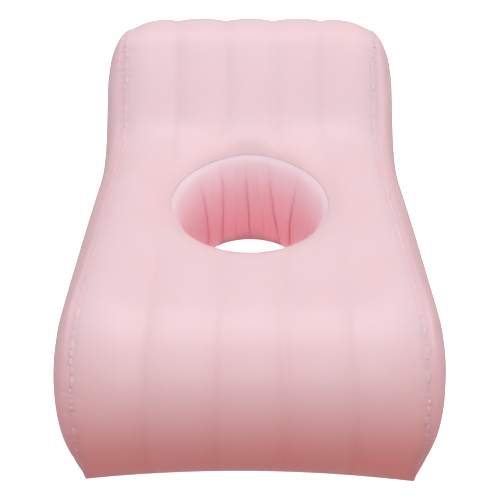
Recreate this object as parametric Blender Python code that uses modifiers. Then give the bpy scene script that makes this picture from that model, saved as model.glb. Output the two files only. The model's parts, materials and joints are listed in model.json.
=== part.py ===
"""Inflatable incline wedge lounger with an open hole through its seat.

One air chamber, welded from sheet PVC: a long strip that wraps from the front floor edge over the
nose, seat and back rest to the rear floor edge, two side panels, a floor panel and the sleeve that
lines the hole. Six beam webs inside tie the strip to the floor panel and make five cells. A two-way
plug valve sits in the back. Metres, +Z up, front edge towards -Y, origin under the box's centre.
"""

import math

import bmesh
import bpy
from mathutils import Matrix, Vector
from mathutils.bvhtree import BVHTree

# The chamber's driving dimensions.
PANEL_WIDTH = 0.62  # strip width, from side seam to side seam
CHAMBER_LENGTH = 1.071  # front to rear floor seam
NOSE_LEAN = 0.008  # how far the front face leans back at the seat's height
SEAT_HEIGHT = 0.283  # seat line at the nose
SEAT_DIP = 0.019  # how much lower the seat line is where the back rest starts
BACK_START = 0.728  # distance from the front at which seat and back rest lines meet
BACK_SLOPE = math.radians(43.6)
NOSE_RADIUS, SEAT_FILLET, TOP_RADIUS = 0.185, 0.18, 0.09
NOSE_PULL, TOP_PULL = 0.012, 0.022  # how far the side seams draw in over the two round ends

CELLS = 5
CELL = PANEL_WIDTH / CELLS
PUFF = 0.006  # how far a cell swells between two webs
SIDE_BULGE = 0.058
FRONT_BOW, REAR_BOW = 0.018, 0.011  # how far the floor seams curve in between their corners
SHEET = 0.0005  # PVC thickness
GAP = 0.0003  # clearance between welded layers
LAYER = SHEET + GAP
TWIST = 0.0004  # spare room behind the bowed ends of the strip, which aren't quite flat
HEM = 0.009  # width of a welded overlap

HOLE_FROM_FRONT = 0.524
RIM_RADIUS, FLOOR_HOLE_RADIUS = 0.177, 0.155
LIP_RADIUS, LIP_DROP = 0.215, 0.012
SLEEVE_BULGE, SLEEVE_HEM = 0.012, 0.007
AIR_HOLE = 0.030  # radius of the air passages in the webs

# The valve, turned about its own axis: skin at 0, positive towards the outside.
VALVE_X, VALVE_Z = -2 * CELL, 0.105
FLANGE_RADIUS, SOCKET_RADIUS, SOCKET_WALL, SOCKET_DEPTH = 0.030, 0.0133, 0.0015, 0.020
PLUG_RADIUS, PLUG_WALL, PLUG_LIP_RADIUS, PLUG_LIP = 0.0130, 0.0015, 0.0185, 0.0020
COLLAR_HEIGHT = 0.0030
THROAT_RADIUS, PORT_RADIUS, PORT_CIRCLE = 0.0060, 0.0028, 0.0070
CAP_RADIUS, CAP_THICKNESS, CAP_PLUG_RADIUS, CAP_PLUG_DEPTH = 0.0085, 0.0020, 0.0054, 0.0030
HINGE_OFFSET = 0.0122  # valve axis to the cap's hinge line
FLAP_RADIUS, FLAP_THICKNESS, FLAP_TRAVEL = 0.0110, 0.0010, 0.0025
VALVE_REACH = COLLAR_HEIGHT + PLUG_LIP + CAP_THICKNESS + 2 * GAP  # skin to the cap's outer face

# Facet sizes.
RUN_STEP, ARC_STEP = 0.055, math.radians(15.0)
STEPS_PER_CELL = 3
SLEEVE_SIDES, SLEEVE_ROWS, TURN_STEPS = 48, 5, 32
SIDE_SHARES = (0.0, 0.07, 0.2, 0.4, 0.7, 1.0)  # rings of a side, from its seam to its middle

VALVE_SKIN = CHAMBER_LENGTH + PUFF
FRONT_SWELL = 0.0020  # how far the nose stands out past the front floor seam
SHIFT_Y = (VALVE_SKIN + VALVE_REACH - FRONT_SWELL) / 2  # distance from the front at which Y is 0
HOLE_Y = HOLE_FROM_FRONT - SHIFT_Y
WEB_X = [CELL * (i - CELLS / 2) for i in range(1, CELLS)]

PINK = (0.82, 0.50, 0.55, 1)
WEB_PINK = (0.80, 0.58, 0.62, 1)
VALVE_WHITE = (0.86, 0.83, 0.83, 1)
SILICONE = (0.75, 0.75, 0.76, 1)


def material(name, colour, roughness):
    made = bpy.data.materials.new(name)
    made.use_nodes = True
    shader = made.node_tree.nodes["Principled BSDF"]
    shader.inputs["Base Color"].default_value = colour
    shader.inputs["Roughness"].default_value = roughness
    shader.inputs["Metallic"].default_value = 0.0
    made.diffuse_color = colour
    return made


def collection(name):
    made = bpy.data.collections.new(name)
    bpy.context.scene.collection.children.link(made)
    return made


def add_object(name, data, into, look=None):
    made = bpy.data.objects.new(name, data)
    into.objects.link(made)
    if look is not None:
        data.materials.append(look)
    return made


def mesh_object(name, bm, into, look=None):
    data = bpy.data.meshes.new(name)
    bm.to_mesh(data)
    bm.free()
    made = add_object(name, data, into, look)
    data.shade_smooth()
    data.set_sharp_from_angle(angle=math.radians(35))
    return made


def baked(obj):
    """The object's evaluated shape as a plain mesh in world space; the object itself is removed."""
    bpy.context.view_layer.update()
    graph = bpy.context.evaluated_depsgraph_get()
    data = bpy.data.meshes.new_from_object(obj.evaluated_get(graph))
    data.transform(obj.matrix_world)
    bm = bmesh.new()
    bm.from_mesh(data)
    bmesh.ops.remove_doubles(bm, verts=bm.verts, dist=1e-6)
    bpy.data.objects.remove(obj)
    bpy.data.meshes.remove(data)
    return bm


def solidify(obj, offset):
    """offset -1 grows the sheet inwards from its outer face, 0 grows it both ways."""
    sheet = obj.modifiers.new("sheet", "SOLIDIFY")
    sheet.thickness = SHEET
    sheet.offset = offset
    sheet.use_even_offset = True


def boolean(obj, other, operation):
    made = obj.modifiers.new(other.name, "BOOLEAN")
    made.operation = operation
    made.solver = "EXACT"
    made.object = other


def helper(obj):
    """Marks a cutter or a joined-in shape, which isn't a part of its own."""
    obj.hide_render = True
    obj.display_type = "WIRE"
    return obj


# ---- the side profile -------------------------------------------------------------------------


def profile_corners():
    """The side profile's corners from front floor seam to rear floor seam: y, z, fillet, seam pull."""
    seat_end = SEAT_HEIGHT - SEAT_DIP
    top = seat_end + (CHAMBER_LENGTH - BACK_START) * math.tan(BACK_SLOPE)
    return [
        (0.0, 0.0, 0.0, 0.0),
        (NOSE_LEAN, SEAT_HEIGHT, NOSE_RADIUS, NOSE_PULL),
        (BACK_START, seat_end, SEAT_FILLET, 0.0),
        (CHAMBER_LENGTH, top, TOP_RADIUS, TOP_PULL),
        (CHAMBER_LENGTH, 0.0, 0.0, 0.0),
    ]


def straight_run(start, end):
    """Points from start towards end, both included, with the run's outward normal."""
    along = end - start
    count = max(1, math.ceil(along.length / RUN_STEP))
    normal = Vector((-along.y, along.x)).normalized()
    return [(start + along * (i / count), normal, 0.0) for i in range(count + 1)]


def fillet(before, corner, after, radius, pull):
    """Points on the arc that rounds a corner, each with its outward normal and its seam pull."""
    incoming, outgoing = (corner - before).normalized(), (after - corner).normalized()
    turn = outgoing.angle_signed(incoming)  # positive turns left, which is a hollow corner here
    side = math.copysign(1.0, turn)
    start = corner - incoming * radius * math.tan(abs(turn) / 2)
    left = Vector((-incoming.y, incoming.x))
    centre = start + left * side * radius
    count = max(2, math.ceil(abs(turn) / ARC_STEP))
    found = []
    for i in range(count + 1):
        share = i / count
        normal = Matrix.Rotation(turn * share, 2) @ left
        found.append((centre - normal * side * radius, normal, pull * math.sin(math.pi * share)))
    return found


def profile_path():
    """(point, outward normal, seam pull) along the strip, from the front floor seam to the rear one."""
    corners = profile_corners()
    points = [Vector(corner[:2]) for corner in corners]
    path, last = [], points[0]
    for i in range(1, len(points) - 1):
        arc = fillet(points[i - 1], points[i], points[i + 1], corners[i][2], corners[i][3])
        path += straight_run(last, arc[0][0])[:-1] + arc[:-1]
        last = arc[-1][0]
    return path + straight_run(last, points[-1])


PATH = profile_path()
REAR_SEAM = next(i for i, step in enumerate(PATH) if step[1].x > 0.9999)  # where the upright back starts


def floor_line(inset):
    """The front and rear corners of an outline drawn inwards by inset, and the points between them."""
    front, rear = Vector((inset, inset)), Vector((CHAMBER_LENGTH - inset, inset))
    count = math.ceil(CHAMBER_LENGTH / (2 * RUN_STEP))
    return front, rear, [rear.lerp(front, i / count) for i in range(1, count)]


def seam_contour(inset):
    """The closed side seam in (y, z), drawn inwards by inset: up over the strip, back along the floor."""
    contour = [point - normal * (pull + inset) for point, normal, pull in PATH]
    contour[0], contour[-1], floor = floor_line(inset)
    return contour + floor


def cell_puff(x):
    """0 on a web or side seam, 1 halfway between two."""
    share = (x + PANEL_WIDTH / 2) / CELL % 1.0
    return 4 * share * (1 - share)


def seam_share(x):
    """0 up to the outermost web, 1 at the side seam."""
    return max(0.0, (abs(x) - PANEL_WIDTH / 2) / CELL + 1) ** 2


def strip_offset(index, x):
    """How far the strip's outer surface lies off its path point, at a distance across."""
    point, normal, pull = PATH[index]
    end_fade = min(1.0, point.y / (2 * RUN_STEP))
    out = PUFF * cell_puff(x) * end_fade - pull * seam_share(x)
    on_seat = normal.y > 0.6 and point.x < BACK_START + SEAT_FILLET
    from_hole = math.hypot(x, point.x - HOLE_FROM_FRONT)
    if on_seat and from_hole < LIP_RADIUS:
        inside = min(1.0, (LIP_RADIUS - from_hole) / (LIP_RADIUS - RIM_RADIUS))
        out -= (LIP_DROP + PUFF * cell_puff(x)) * inside**2
    return out


def seam_bow(x, y, z):
    """How far a place near the floor moves in y: floor seams curve in, but not next to the corners."""
    at_front = y < CHAMBER_LENGTH / 2
    deep, fade_height = (FRONT_BOW, PATH[2][0].y) if at_front else (-REAR_BOW, PATH[-3][0].y)
    columns = CELLS * STEPS_PER_CELL
    column = (x / PANEL_WIDTH + 0.5) * columns
    first = math.floor(column)
    shares = (abs(2 * c - columns) / (columns - 2) for c in (first, first + 1))
    here, after = (max(0.0, 1 - share**2) for share in shares)
    return deep * (here + (after - here) * (column - first)) * max(0.0, 1 - z / fade_height)


def strip_point(index, x):
    """The strip's outer surface at a path point and a distance across, in the row frame."""
    point, normal, _ = PATH[index]
    place = point + normal * strip_offset(index, x)
    return Vector((x, place.x + seam_bow(x, place.x, point.y) - SHIFT_Y, place.y))


# ---- the welded panels ------------------------------------------------------------------------


def mapped_grid(columns, rows, place, closed=False):
    """A grid primitive whose vertex at (column, row) is moved to place(column, row)."""
    bm = bmesh.new()
    bmesh.ops.create_grid(bm, x_segments=columns, y_segments=rows, size=0.5)
    for vertex in bm.verts:
        column = round((vertex.co.x + 0.5) * columns)
        row = round((vertex.co.y + 0.5) * rows)
        vertex.co = place(column % columns if closed else column, row)
    bmesh.ops.remove_doubles(bm, verts=bm.verts, dist=1e-6)
    return bm


def hole_cutter(name, radius, low, high, into):
    bm = bmesh.new()
    bmesh.ops.create_cone(
        bm, cap_ends=True, segments=SLEEVE_SIDES, radius1=radius, radius2=radius, depth=high - low
    )
    cutter = mesh_object(name, bm, into)
    cutter.location = (0, HOLE_Y, (low + high) / 2)
    return helper(cutter)


def strip_panel(name, first, last, lower, into, look):
    """The sheet between two path points; its first edge sits lower by some distance."""
    columns = CELLS * STEPS_PER_CELL

    def place(column, row):
        point = strip_point(first + row, PANEL_WIDTH * (column / columns - 0.5))
        return point - Vector((0, 0, lower)) if row == 0 else point

    panel = mesh_object(name, mapped_grid(columns, last - first, place), into, look)
    solidify(panel, -1)
    return panel


def top_strip(into, cutters, look):
    strip = strip_panel("top_strip", 0, REAR_SEAM, 0.0, into, look)
    boolean(strip, hole_cutter("seat_hole_cutter", RIM_RADIUS, 0.15, 0.45, cutters), "DIFFERENCE")
    return strip


def rear_panel(into, cutters, look):
    """The upright back, butt-welded to the strip below the top round, with the valve's hole."""
    panel = strip_panel("rear_panel", REAR_SEAM, len(PATH) - 1, GAP, into, look)
    bm = bmesh.new()
    reach = 2 * SOCKET_DEPTH
    bmesh.ops.create_cone(
        bm,
        cap_ends=True,
        segments=TURN_STEPS,
        radius1=SOCKET_RADIUS + SOCKET_WALL + GAP,
        radius2=SOCKET_RADIUS + SOCKET_WALL + GAP,
        depth=reach,
    )
    valve_hole = helper(mesh_object("valve_hole_cutter", bm, cutters))
    valve_hole.matrix_world = valve_frame()
    boolean(panel, valve_hole, "DIFFERENCE")
    return panel


def floor_panel(into, cutters, look):
    """The flat floor sheet, with its front and rear hems turned up inside the strip."""
    columns, runs = CELLS * STEPS_PER_CELL, 6
    near, far = LAYER + TWIST, CHAMBER_LENGTH - LAYER - TWIST
    section = [(near, HEM)]
    section += [(near + (far - near) * i / runs, 0.0) for i in range(runs + 1)]
    section += [(far, HEM)]

    def place(column, row):
        y, z = section[row]
        x = PANEL_WIDTH * (0.5 - column / columns)
        if not 1 < row < len(section) - 2:
            y += seam_bow(x, y, z)
        return Vector((x, y - SHIFT_Y, z))

    bm = mapped_grid(columns, len(section) - 1, place)
    last_column = PANEL_WIDTH / 2 - CELL / STEPS_PER_CELL
    notched = [
        face
        for face in bm.faces
        if face.calc_center_median().z > HEM / 4 and abs(face.calc_center_median().x) > last_column
    ]
    bmesh.ops.delete(bm, geom=notched, context="FACES")
    panel = mesh_object("floor_panel", bm, into, look)
    solidify(panel, -1)
    cutter = hole_cutter("floor_hole_cutter", FLOOR_HOLE_RADIUS, -0.02, 0.02, cutters)
    boolean(panel, cutter, "DIFFERENCE")
    return panel


def side_panel(name, side, into, look):
    """A bulging side, with a hem that laps inside the strip and the floor panel all the way round."""
    contour = seam_contour(LAYER)
    middle = Vector((0.66 * CHAMBER_LENGTH, 0.6 * SEAT_HEIGHT))

    def place(column, row):
        rim = contour[column]
        if row == 0:
            return Vector((side * (PANEL_WIDTH / 2 - HEM), rim.x - SHIFT_Y, rim.y))
        share = SIDE_SHARES[row - 1]
        point = rim.lerp(middle, share)
        rise = min(1.0, 2.2 * share)
        out = SIDE_BULGE * math.sqrt(rise * (2 - rise))
        return Vector((side * (PANEL_WIDTH / 2 + out), point.x - SHIFT_Y, point.y))

    bm = mapped_grid(len(contour), len(SIDE_SHARES), place, closed=True)
    bmesh.ops.recalc_face_normals(bm, faces=bm.faces)
    outermost = max(bm.faces, key=lambda face: abs(face.calc_center_median().x))
    if outermost.normal.x * side < 0:
        bmesh.ops.reverse_faces(bm, faces=bm.faces)
    panel = mesh_object(name, bm, into, look)
    solidify(panel, -1)
    return panel


def lowest_over(strip, places):
    """The height of the strip's underside at the lowest of some (x, y) places."""
    found = (strip.ray_cast(Vector((x, y, SEAT_HEIGHT / 2)), Vector((0, 0, 1)))[0] for x, y in places)
    return min((hit.z for hit in found if hit is not None), default=SEAT_HEIGHT)


def hole_sleeve(strip, into, look):
    """The lining of the hole: a hem under the strip, a wall that bulges inwards, a hem on the floor."""
    turn = 2 * math.pi / SLEEVE_SIDES

    def hem_height(column):
        """Just under the strip, as low as it comes between this column's neighbours."""
        places = []
        for i in range(-4, 5):
            angle = turn * (column + i / 4)
            for radius in (RIM_RADIUS + SHEET, RIM_RADIUS + SLEEVE_HEM / 2, RIM_RADIUS + SLEEVE_HEM):
                places.append((radius * math.cos(angle), radius * math.sin(angle) + HOLE_Y))
        return lowest_over(strip, places) - LAYER

    highs = [hem_height(column) for column in range(SLEEVE_SIDES)]
    low = LAYER + SHEET / 2

    def place(column, row):
        down = min(1.0, max(0.0, (row - 1) / SLEEVE_ROWS))
        radius = RIM_RADIUS + (FLOOR_HOLE_RADIUS - RIM_RADIUS) * down
        radius -= SLEEVE_BULGE * math.sin(math.pi * down)
        if row in (0, SLEEVE_ROWS + 2):
            radius += SLEEVE_HEM
        z = highs[column] + (low - highs[column]) * down
        x, y = radius * math.cos(turn * column), radius * math.sin(turn * column)
        return Vector((x, y + HOLE_Y, z))

    rows = SLEEVE_ROWS + 2
    bm = mapped_grid(SLEEVE_SIDES, rows, place, closed=True)
    sleeve = mesh_object("hole_sleeve", bm, into, look)
    solidify(sleeve, 0)
    return sleeve


# ---- the beam webs inside ---------------------------------------------------------------------


def clipped(contour, limit, keep_front):
    """The part of a closed (y, z) contour on one side of y = limit."""
    kept = []
    for a, b in zip(contour, contour[1:] + contour[:1]):
        if (a.x <= limit) == keep_front:
            kept.append(a)
        if (a.x <= limit) != (b.x <= limit):
            kept.append(a.lerp(b, (limit - a.x) / (b.x - a.x)))
    return kept


def line_height(y):
    """The strip's height over the floor at a distance from the front."""
    points = [point for point, _, _ in PATH]
    for a, b in zip(points, points[1:]):
        if a.x <= y < b.x:
            return a.lerp(b, (y - a.x) / (b.x - a.x)).y
    return 0.0


def air_hole(y, sides=12):
    """A round air passage halfway up a web, as a loop of (y, z)."""
    turns = [2 * math.pi * i / sides for i in range(sides)]
    z = line_height(y) / 2
    return [Vector((y + AIR_HOLE * math.cos(t), z + AIR_HOLE * math.sin(t))) for t in turns]


def hem_reach(x):
    """Which way a web's hem turns: towards the middle, or away from the hole's lining beside it."""
    return math.copysign(HEM, x) if abs(x) > RIM_RADIUS else -math.copysign(HEM, x)


def beam_web(name, x, outline, air_holes, free_edge, into, look):
    """A flat web at x with air holes, and a hem along its welded edges. free_edge is its cut end."""
    data = bpy.data.curves.new(name, "CURVE")
    data.dimensions = "2D"
    data.fill_mode = "BOTH"
    for loop in [outline, *air_holes]:
        spline = data.splines.new("POLY")
        spline.points.add(len(loop) - 1)
        for point, place in zip(spline.points, loop):
            point.co = (place.x - SHIFT_Y, place.y, 0, 1)
        spline.use_cyclic_u = True
    flat = add_object(name + "_outline", data, into)
    flat.matrix_world = Matrix(((0, 0, 1, x), (1, 0, 0, 0), (0, 1, 0, 0), (0, 0, 0, 1)))
    bm = baked(flat)
    bpy.data.curves.remove(data)
    inner = [edge for edge in bm.edges if not edge.is_boundary]
    bmesh.ops.beautify_fill(bm, faces=bm.faces, edges=inner, use_restrict_tag=False)

    def welded(edge):
        middle = (edge.verts[0].co + edge.verts[1].co) / 2
        in_hole = any(
            math.hypot(middle.y + SHIFT_Y - (hole[0].x - AIR_HOLE), middle.z - hole[0].y) < 1.1 * AIR_HOLE
            for hole in air_holes
        )
        on_free_edge = free_edge is not None and abs(middle.y + SHIFT_Y - free_edge) < 1e-4
        return edge.is_boundary and not in_hole and not on_free_edge

    rim = [edge for edge in bm.edges if welded(edge)]
    made = bmesh.ops.extrude_edge_only(bm, edges=rim)["geom"]
    bmesh.ops.translate(
        bm,
        verts=[item for item in made if isinstance(item, bmesh.types.BMVert)],
        vec=(hem_reach(x), 0, 0),
    )
    bmesh.ops.recalc_face_normals(bm, faces=bm.faces)
    web = mesh_object(name, bm, into, look)
    solidify(web, 0)
    return web


def web_contour(x, strip):
    """The closed (y, z) outline of a web whose hem clears the strip and the floor panel."""
    inset = 2 * LAYER + SHEET / 2 + TWIST
    hem_edge = x + hem_reach(x)
    contour = []
    for index, (point, normal, _) in enumerate(PATH):
        out = min(strip_offset(index, x), strip_offset(index, hem_edge))
        place = point + normal * (out - inset)
        if normal.y > 0.6 and math.hypot(x, point.x - HOLE_FROM_FRONT) < LIP_RADIUS + RUN_STEP:
            rows = [point.x - SHIFT_Y + RUN_STEP * i / 8 for i in range(-4, 5)]
            over = [(across, y) for across in (x, (x + hem_edge) / 2, hem_edge) for y in rows]
            place.y = min(place.y, lowest_over(strip, over) - LAYER - SHEET / 2)
        contour.append(place)
    contour[0], contour[-1], _ = floor_line(inset)
    for place in contour:
        place.x += max((seam_bow(across, place.x, place.y) for across in (x, hem_edge)), key=abs)
    return contour


def beam_webs(strip, into, look):
    free = 0.012  # clearance between a cut web and the sleeve
    front_holes = [air_hole(y) for y in (0.12, 0.22)]
    middle_holes = [air_hole(y) for y in (0.40, 0.60)]
    rear_holes = [air_hole(y) for y in (0.80, 0.96)]
    for x in WEB_X:
        hand = "left" if x > 0 else "right"
        contour = web_contour(x, strip)
        if abs(x) > RIM_RADIUS:
            holes = front_holes[:1] + middle_holes + rear_holes
            beam_web(f"outer_beam_{hand}", x, contour, holes, None, into, look)
            continue
        half_gap = math.sqrt((RIM_RADIUS + free) ** 2 - x**2)
        front_end, rear_end = HOLE_FROM_FRONT - half_gap, HOLE_FROM_FRONT + half_gap
        front = clipped(contour, front_end, True)
        beam_web(f"front_beam_{hand}", x, front, front_holes, front_end, into, look)
        rear = clipped(contour, rear_end, False)
        beam_web(f"rear_beam_{hand}", x, rear, rear_holes, rear_end, into, look)


# ---- the valve --------------------------------------------------------------------------------


def valve_frame():
    """From the valve's own axes (turned about Z, Z outwards, Y up) to the row frame."""
    return Matrix(
        (
            (-1, 0, 0, VALVE_X),
            (0, 0, 1, VALVE_SKIN - SHIFT_Y),
            (0, 1, 0, VALVE_Z),
            (0, 0, 0, 1),
        )
    )


def turned(name, profile, into, look=None):
    """A closed (radius, height) loop, turned about the valve's axis with a Screw modifier."""
    bm = bmesh.new()
    points = [bm.verts.new((radius, 0, height)) for radius, height in profile]
    for a, b in zip(points, points[1:] + points[:1]):
        if a.co.x > 0 or b.co.x > 0:
            bm.edges.new((a, b))
    piece = mesh_object(name, bm, into, look)
    screw = piece.modifiers.new("turn", "SCREW")
    screw.axis = "Z"
    screw.steps = screw.render_steps = TURN_STEPS
    screw.use_merge_vertices = True
    screw.merge_threshold = 0.00001
    screw.use_normal_calculate = True
    piece.matrix_world = valve_frame()
    return piece


def box_tool(name, size, centre, into):
    bm = bmesh.new()
    bmesh.ops.create_cube(bm, size=1.0)
    bmesh.ops.scale(bm, vec=size, verts=bm.verts)
    bmesh.ops.translate(bm, vec=centre, verts=bm.verts)
    made = helper(mesh_object(name, bm, into))
    made.matrix_world = valve_frame()
    return made


def post_tool(name, radius, low, high, at, into):
    bm = bmesh.new()
    bmesh.ops.create_cone(
        bm, cap_ends=True, segments=16, radius1=radius, radius2=radius, depth=high - low
    )
    bmesh.ops.translate(bm, vec=(at[0], at[1], (low + high) / 2), verts=bm.verts)
    made = helper(mesh_object(name, bm, into))
    made.matrix_world = valve_frame()
    return made


TETHER_ANCHOR = (0.0105, -0.0215)  # the button on the flange that holds the tether's eye
BUTTON_RADIUS, BUTTON_HEAD, STRAP_WIDTH, STRAP_THICKNESS = 0.0016, 0.0027, 0.0048, 0.0011
LIP_BASE = COLLAR_HEIGHT + GAP
LIP_TOP = LIP_BASE + PLUG_LIP
FLANGE_TOP = GAP + 0.0009


def valve_base(into, tools, look):
    """Welded flange, raised collar and the socket that the plug sits in, with the tether's button."""
    outer = SOCKET_RADIUS + SOCKET_WALL
    profile = [
        (SOCKET_RADIUS, COLLAR_HEIGHT),
        (SOCKET_RADIUS, -SOCKET_DEPTH),
        (outer, -SOCKET_DEPTH),
        (outer, GAP),
        (FLANGE_RADIUS, GAP),
        (FLANGE_RADIUS, FLANGE_TOP - 0.0004),
        (FLANGE_RADIUS - 0.0015, FLANGE_TOP),
        (outer + 0.0022, FLANGE_TOP),
        (outer + 0.0014, COLLAR_HEIGHT - 0.0004),
        (outer + 0.0009, COLLAR_HEIGHT),
    ]
    base = turned("valve_base", profile, into, look)
    head_low = LIP_TOP - 0.0004
    stem_low, stem_high = FLANGE_TOP - 0.0004, head_low + 0.0006
    stem = post_tool("button_stem", BUTTON_RADIUS, stem_low, stem_high, TETHER_ANCHOR, tools)
    head = post_tool("button_head", BUTTON_HEAD, head_low, head_low + 0.0012, TETHER_ANCHOR, tools)
    boolean(base, stem, "UNION")
    boolean(base, head, "UNION")
    return base


FLOOR_LOW, FLOOR_HIGH = -0.0190, -0.0160  # the plug's ported inner floor
STEM_RADIUS, STEM_HEAD = 0.0012, 0.0024


def valve_plug(into, tools, look):
    """The pull-out plug: lip, throat, hollow body and a ported floor that the check flap closes."""
    inner = PLUG_RADIUS - PLUG_WALL
    shoulder = -0.0020
    profile = [
        (THROAT_RADIUS, LIP_TOP),
        (THROAT_RADIUS, shoulder),
        (inner, shoulder - 0.0015),
        (inner, FLOOR_HIGH),
        (STEM_RADIUS + 0.0003, FLOOR_HIGH),
        (STEM_RADIUS + 0.0003, FLOOR_LOW),
        (PLUG_RADIUS - 0.0006, FLOOR_LOW),
        (PLUG_RADIUS, FLOOR_LOW + 0.0010),
        (PLUG_RADIUS, LIP_BASE),
        (PLUG_LIP_RADIUS, LIP_BASE),
        (PLUG_LIP_RADIUS, LIP_TOP - 0.0006),
        (PLUG_LIP_RADIUS - 0.0006, LIP_TOP),
    ]
    plug = turned("valve_plug", profile, into, look)
    for i in range(4):
        turn = math.radians(45 + 90 * i)
        at = (PORT_CIRCLE * math.cos(turn), PORT_CIRCLE * math.sin(turn))
        port = post_tool(
            f"port_cutter_{i}", PORT_RADIUS, FLOOR_LOW - 0.001, FLOOR_HIGH + 0.001, at, tools
        )
        boolean(plug, port, "DIFFERENCE")
    boss_low = HINGE_OFFSET + GAP
    boss = box_tool(
        "hinge_boss",
        (0.0070, PLUG_LIP_RADIUS - 0.0012 - boss_low, CAP_THICKNESS + 0.0008),
        (0, (PLUG_LIP_RADIUS - 0.0012 + boss_low) / 2, LIP_TOP + CAP_THICKNESS / 2 - 0.0004),
        tools,
    )
    boolean(plug, boss, "UNION")
    return plug


def check_flap(into, look):
    """The soft disc under the plug's floor, held by a stem with a round head."""
    top = FLOOR_LOW - GAP
    head_low = FLOOR_HIGH + GAP + FLAP_TRAVEL
    profile = [
        (0.0, head_low + 0.0012),
        (STEM_HEAD * 0.6, head_low + 0.0010),
        (STEM_HEAD, head_low),
        (STEM_RADIUS, head_low),
        (STEM_RADIUS, top),
        (FLAP_RADIUS, top),
        (FLAP_RADIUS, top - FLAP_THICKNESS * 0.6),
        (FLAP_RADIUS - 0.0004, top - FLAP_THICKNESS),
        (0.0, top - FLAP_THICKNESS),
    ]
    return turned("check_flap", profile, into, look)


def valve_cap(into, tools, look):
    """The stopper that closes the throat, with its pull tab and the tongue of its hinge."""
    low = LIP_TOP + GAP
    high = low + CAP_THICKNESS
    profile = [
        (0.0, high),
        (CAP_RADIUS - 0.0006, high),
        (CAP_RADIUS, high - 0.0006),
        (CAP_RADIUS, low),
        (CAP_PLUG_RADIUS, low),
        (CAP_PLUG_RADIUS, low - CAP_PLUG_DEPTH + 0.0006),
        (CAP_PLUG_RADIUS - 0.0005, low - CAP_PLUG_DEPTH),
        (0.0, low - CAP_PLUG_DEPTH),
    ]
    cap = turned("valve_cap", profile, into, look)
    tab_end, tongue_width = PLUG_LIP_RADIUS - 0.0010, 0.0052
    tab = box_tool(
        "pull_tab",
        (0.0060, tab_end - CAP_RADIUS + 0.002, 0.0014),
        (0, -(tab_end + CAP_RADIUS - 0.002) / 2, low + 0.0009),
        tools,
    )
    tongue = box_tool(
        "hinge_tongue",
        (tongue_width, HINGE_OFFSET - CAP_RADIUS + 0.002, 0.0010),
        (0, (HINGE_OFFSET + CAP_RADIUS - 0.002) / 2, low + 0.0006),
        tools,
    )
    boolean(cap, tab, "UNION")
    boolean(cap, tongue, "UNION")
    return cap


def tether_route():
    """The strap's middle line in the valve's (x, y): from the plug's lip, round a loop, to the button."""
    anchor = Vector(TETHER_ANCHOR)
    start = Vector((-0.0045, -(PLUG_LIP_RADIUS + GAP)))
    loop_low, half = -0.0400, (anchor.x - start.x) / 2
    middle = Vector(((anchor.x + start.x) / 2, loop_low + half))
    turns = [math.pi + math.pi * i / 8 for i in range(9)]
    bend = [middle + half * Vector((math.cos(turn), math.sin(turn))) for turn in turns]
    return [start, *bend, anchor]


def plug_tether(into, tools, look):
    """A flat strap from the plug's lip, down in a loop, to an eye on the flange's button."""
    route = tether_route()
    half = STRAP_WIDTH / 2
    left, right = [], []
    for i, point in enumerate(route):
        along = (route[min(i + 1, len(route) - 1)] - route[max(i - 1, 0)]).normalized()
        across = Vector((-along.y, along.x)) * half
        left.append(point + across)
        right.append(point - across)
    # The first cross-line lies square to the lip, so the strap starts level with its edge.
    left[0].y = right[0].y = route[0].y
    data = bpy.data.curves.new("plug_tether", "CURVE")
    data.dimensions = "2D"
    data.fill_mode = "BOTH"
    data.extrude = STRAP_THICKNESS / 2
    spline = data.splines.new("POLY")
    outline = left + right[::-1]
    spline.points.add(len(outline) - 1)
    for point, place in zip(spline.points, outline):
        point.co = (place.x, place.y, 0, 1)
    spline.use_cyclic_u = True
    flat = add_object("plug_tether_outline", data, into)
    flat.location = (0, 0, (LIP_BASE + LIP_TOP) / 2 - 0.0002)
    strap = mesh_object("plug_tether", baked(flat), into, look)
    bpy.data.curves.remove(data)
    strap.matrix_world = valve_frame()
    height = (LIP_BASE + LIP_TOP) / 2 - 0.0002
    low, high = height - STRAP_THICKNESS / 2, height + STRAP_THICKNESS / 2
    eye = post_tool("tether_eye", 0.0040, low, high, TETHER_ANCHOR, tools)
    bore = post_tool(
        "tether_eye_bore", BUTTON_RADIUS + 0.0003, low - 0.002, high + 0.002, TETHER_ANCHOR, tools
    )
    boolean(strap, eye, "UNION")
    boolean(strap, bore, "DIFFERENCE")
    return strap


def main():
    for obj in list(bpy.data.objects):
        bpy.data.objects.remove(obj)
    parts, tools = collection("incline_wedge_lounger"), collection("cutters")
    pvc = material("pink_pvc", PINK, 0.42)
    web_pvc = material("web_pvc", WEB_PINK, 0.5)
    white = material("valve_white", VALVE_WHITE, 0.4)
    silicone = material("flap_silicone", SILICONE, 0.45)

    strip = top_strip(parts, tools, pvc)
    rear_panel(parts, tools, pvc)
    bpy.context.view_layer.update()
    floor_panel(parts, tools, pvc)
    side_panel("left_side_panel", 1, parts, pvc)
    side_panel("right_side_panel", -1, parts, pvc)
    under = BVHTree.FromObject(strip, bpy.context.evaluated_depsgraph_get())
    hole_sleeve(under, parts, pvc)
    beam_webs(under, parts, web_pvc)
    valve_base(parts, tools, white)
    valve_plug(parts, tools, white)
    check_flap(parts, silicone)
    valve_cap(parts, tools, white)
    plug_tether(parts, tools, white)


main()
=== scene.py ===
"""The looks of the inflatable incline lounger: satin pink PVC skins, blown up as cloth, round the CAD."""

import json
import math

import bmesh
import bpy
import numpy as np
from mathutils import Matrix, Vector
from mathutils.bvhtree import BVHTree
from mathutils.kdtree import KDTree


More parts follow.
